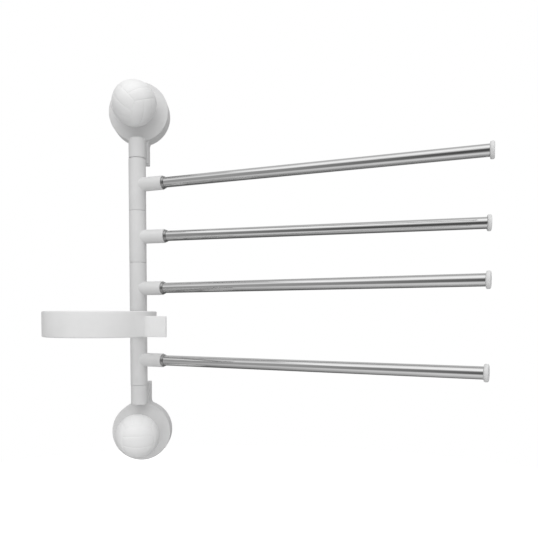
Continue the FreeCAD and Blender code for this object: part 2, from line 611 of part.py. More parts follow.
# --------------------------------------------------------------------- holder ring
def make_ring_holder():
    """Holder ring in one moulding: hub on the post, round band, neck and finger tab."""
    body = new_body("ring_holder")
    half_hub = "dims.ring_hub_length / 2"
    barrel = new_sketch(body, "ring_barrel_circle", "XY_Plane", "-" + half_hub)
    draw_circle(barrel, "dims.post_radius")
    pad(body, "ring_barrel", barrel, "dims.ring_hub_length")

    neck = new_sketch(body, "ring_neck_outline", "XY_Plane", "-dims.neck_height / 2")
    draw_box(neck, "0", "-dims.neck_width / 2",
             "dims.post_radius + dims.ring_neck + dims.ring_wall / 2", "dims.neck_width / 2")
    pad(body, "ring_neck_block", neck, "dims.neck_height")

    band = new_sketch(body, "ring_band_circles", "XY_Plane", "dims.ring_lift - dims.ring_height / 2")
    draw_circle(band, "dims.ring_radius", RING_DISTANCE, "0")
    draw_circle(band, "dims.ring_radius - dims.ring_wall", RING_DISTANCE, "0")
    band_pad = pad(body, "ring_band", band, "dims.ring_height")
    outer = value("dims.ring_radius")
    inner = value("dims.ring_radius - dims.ring_wall")
    band_top = value("dims.ring_lift + dims.ring_height / 2")
    band_foot = value("dims.ring_lift - dims.ring_height / 2")
    round_edges(body, "ring_band_round", band_pad, "dims.ring_round",
                lambda edge: any(is_circle(edge, size, ALONG_Z, side)
                                 for size in (outer, inner) for side in (band_top, band_foot)))

    # Finger tab: a plate straight out from the band's side, with a concave fillet on both
    # sides of its root.
    half_root = "(dims.tab_wall / 2 + dims.tab_fillet)"
    root = "sqrt(dims.ring_radius ^ 2 - %s ^ 2)" % half_root
    near_side = "%s + dims.tab_wall / 2" % RING_DISTANCE
    far_side = "%s - dims.tab_wall / 2" % RING_DISTANCE
    tab = new_sketch(body, "tab_outline", "XY_Plane", "-(dims.tab_drop + dims.tab_height / 2)")
    sides = draw_outline(tab, [
        ("%s + %s" % (RING_DISTANCE, half_root), root + " - dims.ring_wall / 2"),
        ("%s + %s" % (RING_DISTANCE, half_root), root),
        (near_side, root + " + dims.tab_fillet"),
        (near_side, "dims.ring_radius + dims.tab_reach"),
        (far_side, "dims.ring_radius + dims.tab_reach"),
        (far_side, root + " + dims.tab_fillet"),
        ("%s - %s" % (RING_DISTANCE, half_root), root),
        ("%s - %s" % (RING_DISTANCE, half_root), root + " - dims.ring_wall / 2"),
    ])
    for side in (1, 5):
        bend_side(tab, sides, side, "(dims.tab_fillet * (1 - sqrt(0.5)))", "dims.tab_fillet",
                  "dims.tab_fillet")
    pad(body, "tab_plate", tab, "dims.tab_height")

    bore = new_sketch(body, "ring_bore_circle", "XY_Plane", half_hub)
    draw_circle(bore, BORE_RADIUS)
    pocket(body, "ring_bore", bore, "dims.ring_hub_length")
    place_on_post(body, "%s - %s" % (stack_step(3), half_hub), "dims.ring_angle")


# ------------------------------------------------------------------------ assembly
for end in ("upper", "lower"):
    make_bracket(end)
    make_plug(end)
    make_pad(end)
    make_stud(end)
    make_thrust_washer(end)
    make_insert(end)
    make_knob(end)
make_shaft()
make_washers()
for number, (place, angle) in enumerate(zip((0, 1, 2, 4), ARM_ANGLES), start=1):
    make_arm(number, place, angle)
make_ring_holder()
doc.recompute()

# -------------------------------------------------------------- checks and export
for item in doc.Objects:
    if "Invalid" in item.State or "Error" in item.State:
        raise RuntimeError("%s did not rebuild: %s" % (item.Name, item.State))
for node in nodes:
    if node.Shape.isNull() or not node.Shape.isValid():
        raise RuntimeError("%s has no valid shape" % node.Label)
for node in nodes:
    node.Shape.exportStep("parts/%s.step" % node.Label)
    box = node.Shape.BoundBox
    print("%-20s solids %d  volume %9.0f  x %7.1f %7.1f  y %7.1f %7.1f  z %7.1f %7.1f" % (
        node.Label, len(node.Shape.Solids), node.Shape.Volume,
        box.XMin, box.XMax, box.YMin, box.YMax, box.ZMin, box.ZMax))
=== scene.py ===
"""Looks of the swing arm towel bar: white moulded post, knobs and ring, chrome arms.

Lengths are in metres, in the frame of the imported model: +Z up, +X right along the wall,
-Y out from the wall, with the origin at the middle of the upper disc's wall face.
"""

import json
import math

import bmesh
import bpy
import numpy as np
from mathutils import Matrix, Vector


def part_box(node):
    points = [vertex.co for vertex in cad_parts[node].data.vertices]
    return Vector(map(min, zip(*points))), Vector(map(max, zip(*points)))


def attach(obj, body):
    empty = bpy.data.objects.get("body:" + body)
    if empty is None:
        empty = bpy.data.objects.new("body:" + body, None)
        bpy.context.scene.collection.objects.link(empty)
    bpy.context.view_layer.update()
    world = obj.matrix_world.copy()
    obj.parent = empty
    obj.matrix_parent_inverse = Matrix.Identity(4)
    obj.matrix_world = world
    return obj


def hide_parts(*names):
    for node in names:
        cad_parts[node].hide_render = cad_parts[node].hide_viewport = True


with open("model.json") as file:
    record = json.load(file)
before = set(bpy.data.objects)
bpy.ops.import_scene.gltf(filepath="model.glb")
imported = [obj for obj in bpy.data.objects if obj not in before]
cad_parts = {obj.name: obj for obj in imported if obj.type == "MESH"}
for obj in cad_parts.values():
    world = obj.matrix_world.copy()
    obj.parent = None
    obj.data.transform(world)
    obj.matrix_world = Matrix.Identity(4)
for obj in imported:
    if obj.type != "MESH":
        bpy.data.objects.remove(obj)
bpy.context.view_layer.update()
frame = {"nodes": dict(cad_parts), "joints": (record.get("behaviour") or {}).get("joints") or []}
joints = {joint["name"]: joint for joint in frame["joints"]}

# ------------------------------------------------------------------- suction pads
# A soft vinyl pad lies behind each disc. It is one moulding: a flat sealing rim that the
# disc's rib presses on the wall, and a thicker middle that the anchor plate draws up.
UPPER_CENTRE = np.zeros(3)
LOWER_CENTRE = np.array([0, 0, joints["lower_knob_turn"]["pos_m"][2]])
OFF_WALL = (0, -1, 0)
UPWARDS = (0, 0, 1)
SAME_POINT = 1e-8
MERGE_DISTANCE = 2e-6
TONE_STOPS = (0.3, 0.7)


def rounded(corners, radii, steps=7):
    """A closed outline with each corner swapped for an arc.

    The arc's middle lies on the corner's bisector, a radius divided by the sine of half the
    corner's angle away, and its points turn evenly from one side of the corner to the other.
    """
    corner = np.array(corners, float)
    radius = np.array(radii, float)[:, None]
    back = np.roll(corner, 1, axis=0) - corner
    ahead = np.roll(corner, -1, axis=0) - corner
    back /= np.linalg.norm(back, axis=1, keepdims=True)
    ahead /= np.linalg.norm(ahead, axis=1, keepdims=True)
    half = np.arccos(np.clip((back * ahead).sum(1, keepdims=True), -1, 1)) / 2
    bisector = (back + ahead) / np.linalg.norm(back + ahead, axis=1, keepdims=True)
    middle = corner + bisector * radius / np.sin(half)
    start = corner + back * radius / np.tan(half) - middle
    end = corner + ahead * radius / np.tan(half) - middle
    turn = (np.pi - 2 * half)[:, None]
    share = np.linspace(0, 1, steps)[None, :, None]
    arc = np.sin((1 - share) * turn) * start[:, None] + np.sin(share * turn) * end[:, None]
    outline = (middle[:, None] + arc / np.sin(turn)).reshape(-1, 2)
    apart = np.linalg.norm(outline - np.roll(outline, 1, axis=0), axis=1)
    return outline[apart > SAME_POINT]


def turned(profile, origin, axis, columns=96):
    """A closed profile of (distance along the axis, radius) carried once round the axis.

    A point is the origin, plus its distance along the axis, plus its radius in the
    direction that turns evenly round the axis.
    """
    axis = np.array(axis, float)
    first = np.cross(axis, [0, 0, 1] if abs(axis[2]) < 0.9 else [1, 0, 0])
    first /= np.linalg.norm(first)
    second = np.cross(axis, first)
    profile = np.vstack([profile, profile[:1]])
    angle = np.linspace(0, 2 * np.pi, columns + 1)
    outwards = np.cos(angle)[:, None] * first + np.sin(angle)[:, None] * second
    points = np.array(origin) + profile[:, :1, None] * axis + profile[:, 1:, None] * outwards
    length = np.append(0, np.cumsum(np.linalg.norm(np.diff(profile, axis=0), axis=1)))
    around = np.broadcast_to(angle * profile[:, 1].max(), (len(profile), columns + 1))
    return points, np.stack([around, np.broadcast_to(length[:, None], around.shape)], axis=-1)


def skin(name, sheets, body, stands_for, material, sharp=38):
    """A closed piece made of sheets of points, riding on a body in place of CAD nodes.

    Each sheet is (points, flat): rows by columns of places, and of distances in metres over
    the surface. Neighbouring points make a face, meeting edges are merged, and an edge
    between faces more than the sharp angle apart stays crisp.
    """
    faces, count = [], 0
    for points, _ in sheets:
        number = count + np.arange(points[..., 0].size).reshape(points.shape[:2])
        around = [number[:-1, :-1], number[1:, :-1], number[1:, 1:], number[:-1, 1:]]
        faces.append(np.stack(around, axis=-1).reshape(-1, 4))
        count += number.size
    faces = np.vstack(faces)
    flat = np.vstack([sheet_flat.reshape(-1, 2) for _, sheet_flat in sheets])
    mesh = bpy.data.meshes.new(name)
    mesh.from_pydata(np.vstack([points.reshape(-1, 3) for points, _ in sheets]), [], faces)
    mesh.uv_layers.new(name="surface").data.foreach_set("uv", flat[faces.ravel()].ravel())
    work = bmesh.new()
    work.from_mesh(mesh)
    bmesh.ops.remove_doubles(work, verts=work.verts, dist=MERGE_DISTANCE)
    bmesh.ops.holes_fill(work, edges=[edge for edge in work.edges if edge.is_boundary], sides=0)
    bmesh.ops.recalc_face_normals(work, faces=work.faces)
    work.to_mesh(mesh)
    work.free()
    mesh.shade_smooth()
    mesh.set_sharp_from_angle(angle=math.radians(sharp))
    piece = bpy.data.objects.new(name, mesh)
    bpy.context.scene.collection.objects.link(piece)
    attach(piece, body)
    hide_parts(*stands_for)
    mesh.materials.append(material)


def add_node(tree, kind, place, **settings):
    """A shader node with its settings: inputs, named with _ for a space, or other values."""
    node = tree.nodes.new(kind)
    node.location = place
    for name, value in settings.items():
        socket = name.replace("_", " ")
        if socket in node.inputs:
            node.inputs[socket].default_value = value
        else:
            setattr(node, name, value)
    return node


def wire(tree, *links):
    """Links on a shader tree, each as (from node, its output, to node, its input)."""
    for source, output, target, socket in links:
        tree.links.new(source.outputs[output], target.inputs[socket])


def new_group(name, inputs, outputs):
    """A node group with its inputs and its number outputs, as (tree, start, end)."""
    tree = bpy.data.node_groups.new(name, "ShaderNodeTree")
    for socket, kind in inputs:
        tree.interface.new_socket(name=socket, in_out="INPUT", socket_type=kind)
    for socket in outputs:
        tree.interface.new_socket(name=socket, in_out="OUTPUT", socket_type="NodeSocketFloat")
    start = add_node(tree, "NodeGroupInput", (-700, 0))
    end = add_node(tree, "NodeGroupOutput", (500, 0))
    return tree, start, end


def moulding_marks():
    """Node group of a moulding's surface: slow drift of tone, patches of gloss, fine peel.

    Inputs are the place on the piece and the widths of a drift patch and of a peel dimple.
    """
    tree, start, end = new_group(
        "moulding marks",
        [("Place", "NodeSocketVector"), ("Drift Width", "NodeSocketFloat"),
         ("Peel Width", "NodeSocketFloat")],
        ["Tone", "Gloss", "Peel"])
    patterns = [
        ("Tone", "Drift Width", 3.0, 0.55, 200),
        ("Gloss", "Drift Width", 6.0, 0.7, 0),
        ("Peel", "Peel Width", 2.0, 0.4, -200),
    ]
    for output, width, detail, roughness, height in patterns:
        rate = add_node(tree, "ShaderNodeMath", (-400, height), operation="DIVIDE")
        rate.inputs[0].default_value = 1.0
        noise = add_node(tree, "ShaderNodeTexNoise", (-150, height), Detail=detail,
                         Roughness=roughness)
        wire(tree, (start, width, rate, 1), (start, "Place", noise, "Vector"),
             (rate, 0, noise, "Scale"), (noise, "Fac", end, output))
    return tree


marks_of_moulding = moulding_marks()


def patterned(name, where, group, rates, masks, tones, spread, gloss, relief, shader):
    """A material whose colour, gloss and relief follow three masks of a node group.

    `tones` are the two colours, `spread` the range of the gloss mask that turns into the
    two roughnesses of `gloss`, and `relief` the strength and the depth of the relief.
    """
    material = bpy.data.materials.new(name)
    material.use_nodes = True
    tree = material.node_tree
    surface = tree.nodes["Principled BSDF"]
    for socket, value in shader.items():
        surface.inputs[socket.replace("_", " ")].default_value = value
    place = add_node(tree, "ShaderNodeTexCoord", (-1100, 0))
    marks = add_node(tree, "ShaderNodeGroup", (-850, 0), node_tree=group, **rates)
    colour = add_node(tree, "ShaderNodeValToRGB", (-550, 200))
    for stop, position, tone in zip(colour.color_ramp.elements, TONE_STOPS, tones):
        stop.position = position
        stop.color = (*tone, 1)
    rough = add_node(tree, "ShaderNodeMapRange", (-550, -50), From_Min=spread[0],
                     From_Max=spread[1], To_Min=gloss[0], To_Max=gloss[1])
    bump = add_node(tree, "ShaderNodeBump", (-550, -350), Strength=relief[0],
                    Distance=relief[1])
    wire(tree, (place, where, marks, "Place"), (marks, masks[0], colour, "Fac"),
         (marks, masks[1], rough, "Value"), (marks, masks[2], bump, "Height"),
         (colour, "Color", surface, "Base Color"), (rough, "Result", surface, "Roughness"),
         (bump, "Normal", surface, "Normal"))
    return material


def moulded(name, dark, light, gloss, drift=0.03, peel=0.0011, depth=0.00004, **shader):
    """Moulded plastic: the tone drifts between two colours, gloss between two roughnesses."""
    return patterned(name, "Object", marks_of_moulding, {"Drift_Width": drift, "Peel_Width": peel},
                     ("Tone", "Gloss", "Peel"), (dark, light), (0, 1), gloss, (0.6, depth),
                     shader)


soft_vinyl = moulded("soft vinyl", (0.60, 0.62, 0.62), (0.68, 0.70, 0.70), (0.22, 0.34),
                     drift=0.02, peel=0.0006, depth=0.00002, Subsurface_Weight=0.15)
PAD_INSIDE, PAD_OUTSIDE = 0.0143, 0.0314
RIM_HEIGHT, PAD_HEIGHT = 0.0025, 0.0065
PAD_PROFILE = rounded(
    [(0, 0.0224), (0, PAD_OUTSIDE), (RIM_HEIGHT, PAD_OUTSIDE), (RIM_HEIGHT, 0.0259),
     (PAD_HEIGHT, 0.0199), (PAD_HEIGHT, PAD_INSIDE), (0.003, PAD_INSIDE), (0.003, 0.0174)],
    [0.0003, 0.0006, 0.0008, 0.0015, 0.0012, 0.0005, 0.0004, 0.0008])


def sheets_at(end, *sheets):
    """Sheets built for the upper end, or turned half round about Y for the lower one."""
    if end == "upper":
        return sheets
    return [(points * [-1, 1, -1] + LOWER_CENTRE, flat) for points, flat in sheets]


for end in ("upper", "lower"):
    skin(end + "_pad_skin", sheets_at(end, turned(PAD_PROFILE, UPPER_CENTRE, OFF_WALL, 144)),
         "wall_frame", [end + "_suction_pad"], soft_vinyl)

# --------------------------------------------------------------- studs and inserts
# A zinc-plated stud with an anchor plate is turned and threaded; its plate draws the pad
# off the wall. A knurled brass insert is moulded into each knob and runs on the thread.
STUD_RADIUS = 0.004
STUD_BORE = 0.00405
STUD_END = 0.047
THREAD_PITCH = 0.0015
THREAD_STARTS = 2
THREAD_DEPTH = 0.0006
THREAD_CORE = STUD_RADIUS - THREAD_DEPTH
THREAD_END = 0.0455
PLATE_BACK, PLATE_FRONT = 0.003, 0.0052
PLATE_RADIUS = 0.014
INSERT_FOOT, INSERT_END = 0.030, 0.050
INSERT_FLOOR = 0.0485
INSERT_RADIUS = 0.006
KNURL_RUN_OUT = 0.001
KNURL_ROOT = 0.0003


def metal_marks():
    """Node group of worked metal: long thin lines that follow one direction, and soft clouds.

    Inputs are the place on the piece and how often the pattern repeats each way, per metre.
    """
    tree, start, end = new_group(
        "metal marks",
        [("Place", "NodeSocketVector"), ("Line Rate", "NodeSocketVector"),
         ("Cloud Rate", "NodeSocketFloat")],
        ["Lines", "Cloud"])
    stretch = add_node(tree, "ShaderNodeVectorMath", (-450, 150), operation="MULTIPLY")
    lines = add_node(tree, "ShaderNodeTexNoise", (-200, 150), Scale=1.0, Detail=5.0,
                     Roughness=0.65)
    cloud = add_node(tree, "ShaderNodeTexNoise", (-200, -150), Detail=3.0, Roughness=0.5)
    wire(tree, (start, "Place", stretch, 0), (start, "Line Rate", stretch, 1),
         (stretch, 0, lines, "Vector"), (start, "Place", cloud, "Vector"),
         (start, "Cloud Rate", cloud, "Scale"), (lines, "Fac", end, "Lines"),
         (cloud, "Fac", end, "Cloud"))
    return tree


marks_of_metal = metal_marks()


def worked_metal(name, dark, light, gloss, line_rate, where="UV", cloud_rate=60.0,
                 depth=0.000004):
    """Metal whose colour follows its clouds, and whose gloss and relief follow its lines."""
    return patterned(name, where, marks_of_metal,
                     {"Line_Rate": line_rate, "Cloud_Rate": cloud_rate},
                     ("Cloud", "Lines", "Lines"), (dark, light), (0.3, 0.7), gloss,
                     (0.4, depth), {"Metallic": 1.0})


def round_sheet(reach, along, angle, radius):
    """A grid of reach from the Y axis and distance off the wall, over angle and distance."""
    along = along + 0 * angle
    points = np.stack([reach * np.cos(angle), -along, reach * np.sin(angle)], axis=-1)
    return points, np.stack([radius * angle + 0 * along, along], axis=-1)


def threaded(radius, start, end, columns=72, rows_per_turn=14):
    """The stud's thread out from the wall, on a grid of angle and distance.

    The radius drops from the crest by a triangle wave whose phase is the distance over the
    pitch less the angle times the number of starts, and the thread fades out at both ends.
    """
    angle = np.linspace(0, 2 * np.pi, columns + 1)[None, :]
    rows = int((end - start) / THREAD_PITCH * rows_per_turn)
    along = np.linspace(start, end, rows)[:, None]
    phase = along / THREAD_PITCH - THREAD_STARTS * angle / (2 * np.pi)
    wave = 1 - abs(2 * (phase % 1) - 1)
    fade = np.clip(np.minimum(along - start, end - along) / THREAD_PITCH, 0, 1)
    return round_sheet(radius - THREAD_DEPTH * wave * fade, along, angle, radius)


def knurled(radius, start, end, ridges=24, depth=0.0004, rows=40):
    """The insert's outside: straight knurl ridges from a cosine of the angle, on a grid."""
    angle = np.linspace(0, 2 * np.pi, ridges * 8 + 1)[None, :]
    along = np.linspace(start, end, rows)[:, None]
    fade = np.clip(np.minimum(along - start, end - along) / KNURL_RUN_OUT, 0, 1)
    groove = depth * fade * (0.5 + 0.5 * np.cos(ridges * angle))
    return round_sheet(radius - groove - KNURL_ROOT * (1 - fade), along, angle, radius)


turned_steel = worked_metal("turned steel", (0.52, 0.53, 0.54), (0.62, 0.62, 0.63),
                            (0.22, 0.38), (60, 9000, 1))
turned_brass = worked_metal("turned brass", (0.70, 0.54, 0.27), (0.78, 0.62, 0.33),
                            (0.20, 0.34), (60, 9000, 1))
PLATE_PROFILE = rounded(
    [(PLATE_BACK, 0), (PLATE_BACK, PLATE_RADIUS), (PLATE_FRONT, PLATE_RADIUS),
     (PLATE_FRONT, 0.0045), (0.0062, THREAD_CORE), (0.0062, 0)],
    [0, 0.0006, 0.0006, 0.0004, 0, 0])
TIP_PROFILE = rounded(
    [(0.0445, 0), (0.0445, THREAD_CORE), (STUD_END, THREAD_CORE), (STUD_END, 0)],
    [0, 0, 0.0006, 0])
INSERT_PROFILE = rounded(
    [(INSERT_FOOT, STUD_BORE), (INSERT_FOOT, INSERT_RADIUS - KNURL_ROOT),
     (INSERT_END, INSERT_RADIUS - KNURL_ROOT), (INSERT_END, 0), (INSERT_FLOOR, 0),
     (INSERT_FLOOR, STUD_BORE)],
    [0.0002, 0, 0, 0, 0, 0])
for end in ("upper", "lower"):
    stud_sheets = sheets_at(end, turned(PLATE_PROFILE, UPPER_CENTRE, OFF_WALL, 120),
                            turned(TIP_PROFILE, UPPER_CENTRE, OFF_WALL, 72),
                            threaded(STUD_RADIUS, PLATE_FRONT, THREAD_END))
    skin(end + "_stud_thread", stud_sheets, end + "_draw_stud", [end + "_stud"],
         turned_steel, sharp=50)
    insert_sheets = sheets_at(end, turned(INSERT_PROFILE, UPPER_CENTRE, OFF_WALL, 96),
                              knurled(INSERT_RADIUS, INSERT_FOOT, INSERT_END))
    skin(end + "_knurled_insert", insert_sheets, end + "_ball_knob", [end + "_knob_insert"],
         turned_brass, sharp=50)

# ------------------------------------------------------------------ wall brackets
# White ABS, one moulding each: a deep disc with a hollow flared front, a tail that runs
# behind the post, and a sleeve on a web. The lower one is the upper one turned round.
POST_OFFSET = -joints["arm_1_swing"]["pos_m"][1]
SHAFT_BORE = 0.00405
SLEEVE_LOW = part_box("hub_washers")[1].z
SLEEVE_TOP = SLEEVE_LOW + 0.0221
SLEEVE_RADIUS = 0.0097
PLUG_HOLE = 0.00655
PLUG_DEPTH = 0.003
LIP_BORE = 0.00865
FIRST_LIP = 0.00075
CLOSE_LIP = 0.00115
DISC_RADIUS = 0.0352
RIM_INSIDE = 0.0322
RIM_FRONT = 0.021
COLLAR_FRONT, COLLAR_RADIUS = 0.029, 0.0185
FLARE_DIP = 0.0018
HOLLOW_FRONT = 0.024
RIB_FOOT, RIB_INSIDE, RIB_OUTSIDE = 0.0025, 0.0259, 0.0294
GROOVE_FRONT = 0.018
HALF_TAIL = 0.0108
TAIL_BACK, TAIL_FRONT = 0.003, 0.019
TAIL_START, TAIL_END = -0.045, SLEEVE_LOW - 0.003
BLEND = 0.007
HALF_WEB = 0.0065
WEB_BACK, WEB_TOP = -0.016, SLEEVE_TOP - 0.0024
white_abs = moulded("white moulded abs", [0.70] * 3, [0.74] * 3, (0.30, 0.42), depth=0.000012)


def flare(rim, collar, dip, count=14):
    """The disc's hollow front from rim to collar: a chord pushed in by a parabola."""
    share = np.linspace(0, 1, count)[:, None]
    rim, collar = np.array(rim), np.array(collar)
    chord = collar - rim
    inwards = np.array([chord[1], -chord[0]]) / np.linalg.norm(chord)
    return rim + share * chord + 4 * dip * share * (1 - share) * inwards


def slab(outline, low, high, edge, place, steps=6):
    """A plate with a closed outline, whose long edges are rounded off by a quarter circle.

    The outline moves in along its own normals by the edge radius times one less a sine,
    while it climbs by the radius times one less a cosine of the same angle, and the other
    way round at the top; `place` maps (x, y, height) to the object.
    """
    along = np.roll(outline, -1, axis=0) - np.roll(outline, 1, axis=0)
    normal = np.stack([along[:, 1], -along[:, 0]], axis=1)
    normal /= np.linalg.norm(normal, axis=1, keepdims=True)
    turn = np.linspace(0, np.pi / 2, steps)
    inset, climb = edge * (1 - np.sin(turn)), edge * (1 - np.cos(turn))
    flat = outline[None] - np.append(inset, inset[::-1])[:, None, None] * normal[None]
    height = np.append(low + climb, high - climb[::-1])[:, None, None]
    points = np.concatenate([flat, np.broadcast_to(height, flat[..., :1].shape)], -1)
    points = np.concatenate([points, points[:, :1]], axis=1)
    return place(points), points[..., :2]


def standing_off(points):
    """Points of a plate drawn on the wall, whose height runs out from the wall."""
    return np.stack([points[..., 0], -points[..., 2], points[..., 1]], axis=-1)


front = flare((RIM_FRONT, DISC_RADIUS), (COLLAR_FRONT, COLLAR_RADIUS), FLARE_DIP)
DISC_PROFILE = rounded(
    [(0, DISC_RADIUS), *front, (COLLAR_FRONT, STUD_BORE), (HOLLOW_FRONT, STUD_BORE),
     (HOLLOW_FRONT, 0.016), (0.0206, RIB_INSIDE), (RIB_FOOT, RIB_INSIDE),
     (RIB_FOOT, RIB_OUTSIDE), (GROOVE_FRONT, RIB_OUTSIDE), (GROOVE_FRONT, RIM_INSIDE),
     (0, RIM_INSIDE)],
    [0.0006, 0.0011, *[0] * (len(front) - 2), 0.0006, 0.0003, 0, *[0.0006] * 6, 0.0004])
# The tail's blend into the disc: an arc that touches the tail's side and the disc's rim.
blend_x = HALF_TAIL + BLEND
blend_z = -math.sqrt((DISC_RADIUS + BLEND) ** 2 - blend_x ** 2)
rim_angle = math.atan2(-blend_z, blend_x)
sweep = np.linspace(math.pi, math.pi - rim_angle, 10)
blend_arc = np.stack([blend_x + BLEND * np.cos(sweep), blend_z + BLEND * np.sin(sweep)], axis=1)
foot = rounded([(HALF_TAIL, TAIL_START), (HALF_TAIL, TAIL_END), (-HALF_TAIL, TAIL_END),
                (-HALF_TAIL, TAIL_START)], [0, 0.0012, 0.0012, 0])
INSIDE_DISC = [(0.02, -0.024), (-0.02, -0.024)]
TAIL_OUTLINE = np.vstack([foot[::-1], blend_arc, INSIDE_DISC, blend_arc[::-1] * [-1, 1]])
WEB_OUTLINE = rounded([(-HALF_WEB, -POST_OFFSET), (HALF_WEB, -POST_OFFSET),
                       (HALF_WEB, WEB_BACK), (-HALF_WEB, WEB_BACK)], [0.001] * 4)
for end, lip in (("upper", FIRST_LIP), ("lower", CLOSE_LIP)):
    sleeve_profile = rounded(
        [(SLEEVE_LOW, SHAFT_BORE), (SLEEVE_LOW, LIP_BORE), (SLEEVE_LOW - lip, LIP_BORE),
         (SLEEVE_LOW - lip, SLEEVE_RADIUS), (SLEEVE_TOP, SLEEVE_RADIUS),
         (SLEEVE_TOP, PLUG_HOLE), (SLEEVE_TOP - PLUG_DEPTH, PLUG_HOLE),
         (SLEEVE_TOP - PLUG_DEPTH, SHAFT_BORE)],
        [0, 0, 0.0001, 0.0003, 0.0012, 0.0002, 0, 0])
    bracket_sheets = sheets_at(
        end, turned(DISC_PROFILE, UPPER_CENTRE, OFF_WALL, 168),
        slab(TAIL_OUTLINE, TAIL_BACK, TAIL_FRONT, 0.0012, standing_off),
        slab(WEB_OUTLINE, SLEEVE_LOW, WEB_TOP, 0.0005, lambda points: points),
        turned(sleeve_profile, (0, -POST_OFFSET, 0), UPWARDS, 96))
    skin(end + "_wall_bracket", bracket_sheets, "wall_frame", [end + "_bracket"],
         white_abs, sharp=42)

# --------------------------------------------------------------------- ball knobs
# A white ABS ball that is cut flat at the back and screws down on the disc. Shallow seams
# are moulded into it in the usual way of a sports ball: six fields of three strips each.
BALL_RADIUS = 0.0255
BALL_CENTRE = 0.049
BALL_BACK = 0.030
BALL_COLUMNS, BALL_ROWS = 420, 190
FLAT_RADIUS = math.sqrt(BALL_RADIUS ** 2 - (BALL_CENTRE - BALL_BACK) ** 2)
HOLE_RADIUS, HOLE_END = 0.00605, 0.05005
GROOVE_DEPTH, GROOVE_WIDTH = 0.00022, 0.00065
SWELL_DEPTH, SWELL_WIDTH = 0.00014, 0.0022
CALM_ANGLE = 0.12
FIELD_TURNS = np.array([75, 195, 315])
STRIP_EDGE = math.tan(math.radians(15))
SEAM_CORNERS = {"upper": ((0.19, -0.95, -0.24), 0.0), "lower": ((0.416, 0.75, -0.515), 80.0)}
bright_abs = moulded("bright white moulded abs", [0.85] * 3, [0.89] * 3, (0.28, 0.38))


def seam_distance(direction, corner, spin):
    """Angle from each direction to the nearest seam, from the cube that the seams follow.

    Three of the cube's face normals stand round the corner direction, a third of a turn
    apart. On each field, the seams are its border and two lines that run along the next
    normal, 15 degrees to either side of the middle.
    """
    corner = np.array(corner, float) / np.linalg.norm(corner)
    right = np.cross(-corner, [0, 0, 1])
    right /= np.linalg.norm(right)
    up = np.cross(right, -corner)
    around = np.radians(FIELD_TURNS + spin)[:, None]
    leaning = np.cos(around) * right + np.sin(around) * up
    normals = corner / math.sqrt(3) + math.sqrt(2 / 3) * leaning
    part = abs(direction @ normals.T)
    order = np.sort(part, axis=-1)
    border = np.arcsin((order[..., 2] - order[..., 1]) / math.sqrt(2))
    field = part.argmax(axis=-1)
    ahead = np.take_along_axis(part, field[..., None], axis=-1)[..., 0]
    across = np.take_along_axis(part, (field[..., None] + 2) % 3, axis=-1)[..., 0]
    strip = np.arcsin(abs(across - STRIP_EDGE * ahead) / math.hypot(1, STRIP_EDGE))
    return np.minimum(border, strip)


def ball(corner, spin):
    """The ball's skin, from the pole that faces the room back to the flat.

    A point lies at the radius in its direction, pushed in where a seam passes: a narrow bell
    curve of the distance to the seam for the groove, and a wide one for the strips' swell.
    """
    last = math.acos(-(BALL_CENTRE - BALL_BACK) / BALL_RADIUS)
    polar = np.linspace(0, last, BALL_ROWS)[:, None]
    angle = np.linspace(0, 2 * np.pi, BALL_COLUMNS + 1)[None, :]
    direction = np.stack([np.sin(polar) * np.cos(angle), -np.cos(polar) + 0 * angle,
                          np.sin(polar) * np.sin(angle)], axis=-1)
    away = seam_distance(direction, corner, spin) * BALL_RADIUS
    calm = np.clip((last - polar) / CALM_ANGLE, 0, 1)
    sunk = (GROOVE_DEPTH * np.exp(-(away / GROOVE_WIDTH) ** 2)
            + SWELL_DEPTH * np.exp(-(away / SWELL_WIDTH) ** 2))
    points = direction * (BALL_RADIUS - sunk * calm)[..., None] - [0, BALL_CENTRE, 0]
    return points, BALL_RADIUS * np.stack([angle + 0 * polar, polar + 0 * angle], axis=-1)


def ball_back():
    """The flat behind the ball with the blind hole for the insert, as rings about Y."""
    rings = np.array([(BALL_BACK, FLAT_RADIUS), (BALL_BACK, 0.0150), (BALL_BACK, HOLE_RADIUS),
                      (HOLE_END, HOLE_RADIUS), (HOLE_END, 0.0)])
    angle = np.linspace(0, 2 * np.pi, BALL_COLUMNS + 1)[None, :]
    points, _ = round_sheet(rings[:, 1:], rings[:, :1], angle, FLAT_RADIUS)
    return points, points[..., [0, 2]]


for end, centre in (("upper", UPPER_CENTRE), ("lower", LOWER_CENTRE)):
    ball_sheets = [(points + centre, flat)
                   for points, flat in (ball(*SEAM_CORNERS[end]), ball_back())]
    skin(end + "_ball", ball_sheets, end + "_ball_knob", [end + "_knob"],
         bright_abs, sharp=50)

# ---------------------------------------------------- pivot shaft, washers and plugs
# A plain steel shaft runs through all hubs, with a nylon washer at each joint of the stack.
# A button plug closes each sleeve over the shaft's end.
WASHER_HEIGHT = 0.0025
WASHER_RADIUS = 0.0085
HALF_HUB = 0.029
HALF_RING_HUB = 0.0105
PLUG_RADIUS = 0.0065
shaft_steel = worked_metal("ground shaft steel", (0.54, 0.54, 0.55), (0.62, 0.62, 0.63),
                           (0.16, 0.28), (40, 40, 7000), where="Object")
nylon = moulded("pale nylon", [0.72] * 3, [0.78] * 3, (0.42, 0.55), drift=0.008, peel=0.0005,
                depth=0.00002)
for name, material in (("pivot_shaft", shaft_steel), ("upper_thrust_washer", nylon),
                       ("lower_thrust_washer", nylon)):
    node = frame["nodes"][name]
    node.data.materials.clear()
    node.data.materials.append(material)
WASHER_PROFILE = rounded(
    [(0, SHAFT_BORE), (0, WASHER_RADIUS), (WASHER_HEIGHT, WASHER_RADIUS),
     (WASHER_HEIGHT, SHAFT_BORE)],
    [0.0002, 0.0003, 0.0003, 0.0002])
hub_feet = [SLEEVE_LOW]
